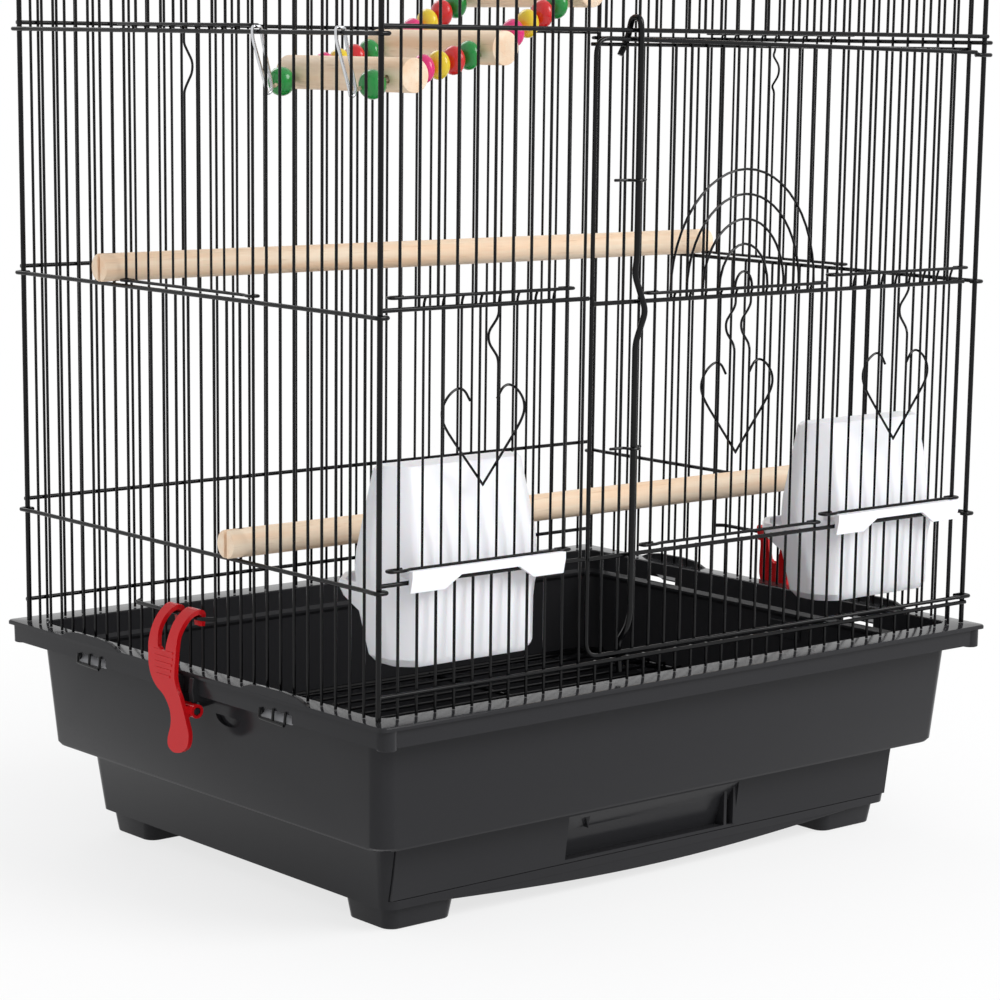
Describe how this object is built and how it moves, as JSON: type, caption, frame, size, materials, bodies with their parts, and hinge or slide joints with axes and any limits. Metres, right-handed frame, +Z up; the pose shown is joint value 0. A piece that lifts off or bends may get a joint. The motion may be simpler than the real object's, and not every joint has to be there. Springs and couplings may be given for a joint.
{
  "type": "bird cage",
  "caption": "Wire bird cage on a plastic base: swinging front door with latch rod, sliding feeder and side doors, pull-out drawer, clips, feeders, perches and a hanging ladder toy.",
  "frame": {"origin": "centre of the footprint of the cage wires, on the floor under the feet", "axes": "+X to the cage's right seen from the front, -Y out of the front door, +Z up"},
  "size_m": [0.4766, 0.3624, 0.8501],
  "materials": {
    "wire_black": "gloss",
    "base_plastic": "satin",
    "drawer_plastic": "satin",
    "white_plastic": "gloss",
    "red_plastic": "gloss",
    "pale_wood": "matte",
    "bead_paint": "gloss",
    "steel": "polished"
  },
  "bodies": {
    "cage": {"base_tub": "base_plastic", "grate": "wire_black", "front_panel": "wire_black", "back_panel": "wire_black", "left_panel": "wire_black", "right_panel": "wire_black", "roof_panel": "wire_black", "feeder_left": "white_plastic", "perch_upper": "pale_wood", "perch_lower": "pale_wood", "rung_1": "pale_wood", "rung_2": "pale_wood", "rung_3": "pale_wood", "rung_4": "pale_wood", "rung_5": "pale_wood", "rung_6": "pale_wood", "rung_7": "pale_wood", "bead_cord_near": "bead_paint", "bead_cord_far": "bead_paint", "snap_hook_1": "steel", "snap_hook_2": "steel", "snap_hook_3": "steel", "snap_hook_4": "steel"},
    "drawer": {"drawer": "drawer_plastic"},
    "front_door": {"front_door": "wire_black", "feeder_right": "white_plastic"},
    "latch_rod": {"latch_rod": "wire_black"},
    "feeder_door_left": {"feeder_door_left": "wire_black"},
    "feeder_door_right": {"feeder_door_right": "wire_black"},
    "arch_door": {"arch_door": "wire_black"},
    "side_door_left": {"side_door_left": "wire_black"},
    "side_door_right": {"side_door_right": "wire_black"},
    "clip_left": {"clip_left": "red_plastic"},
    "clip_right": {"clip_right": "red_plastic"},
    "carry_ring": {"carry_ring": "wire_black"}
  },
  "joints": [
    {"name": "drawer_slide", "type": "slide", "parent": "cage", "child": "drawer", "axis": [0, -1, 0], "range_m": [0, 0.24]},
    {"name": "front_door_hinge", "type": "hinge", "parent": "cage", "child": "front_door", "pos_m": [0.222, -0.168, 0.3], "axis": [0, 0, 1], "range_deg": [0, 110]},
    {"name": "latch_rod_lift", "type": "slide", "parent": "front_door", "child": "latch_rod", "axis": [0, 0, 1], "range_m": [0, 0.016]},
    {"name": "feeder_door_left_lift", "type": "slide", "parent": "cage", "child": "feeder_door_left", "axis": [0, 0, 1], "range_m": [0, 0.115]},
    {"name": "feeder_door_right_lift", "type": "slide", "parent": "front_door", "child": "feeder_door_right", "axis": [0, 0, 1], "range_m": [0, 0.115]},
    {"name": "arch_door_lift", "type": "slide", "parent": "front_door", "child": "arch_door", "axis": [0, 0, 1], "range_m": [0, 0.064]},
    {"name": "side_door_left_lift", "type": "slide", "parent": "cage", "child": "side_door_left", "axis": [0, 0, 1], "range_m": [0, 0.115]},
    {"name": "side_door_right_lift", "type": "slide", "parent": "cage", "child": "side_door_right", "axis": [0, 0, 1], "range_m": [0, 0.115]},
    {"name": "clip_left_hinge", "type": "hinge", "parent": "cage", "child": "clip_left", "pos_m": [-0.2306, -0.011, 0.105], "axis": [0, -1, 0], "range_deg": [0, 30]},
    {"name": "clip_right_hinge", "type": "hinge", "parent": "cage", "child": "clip_right", "pos_m": [0.2306, -0.011, 0.105], "axis": [0, 1, 0], "range_deg": [0, 30]},
    {"name": "carry_ring_hinge", "type": "hinge", "parent": "cage", "child": "carry_ring", "pos_m": [0, 0, 0.8065], "axis": [1, 0, 0], "range_deg": [-110, 110]}
  ]
}
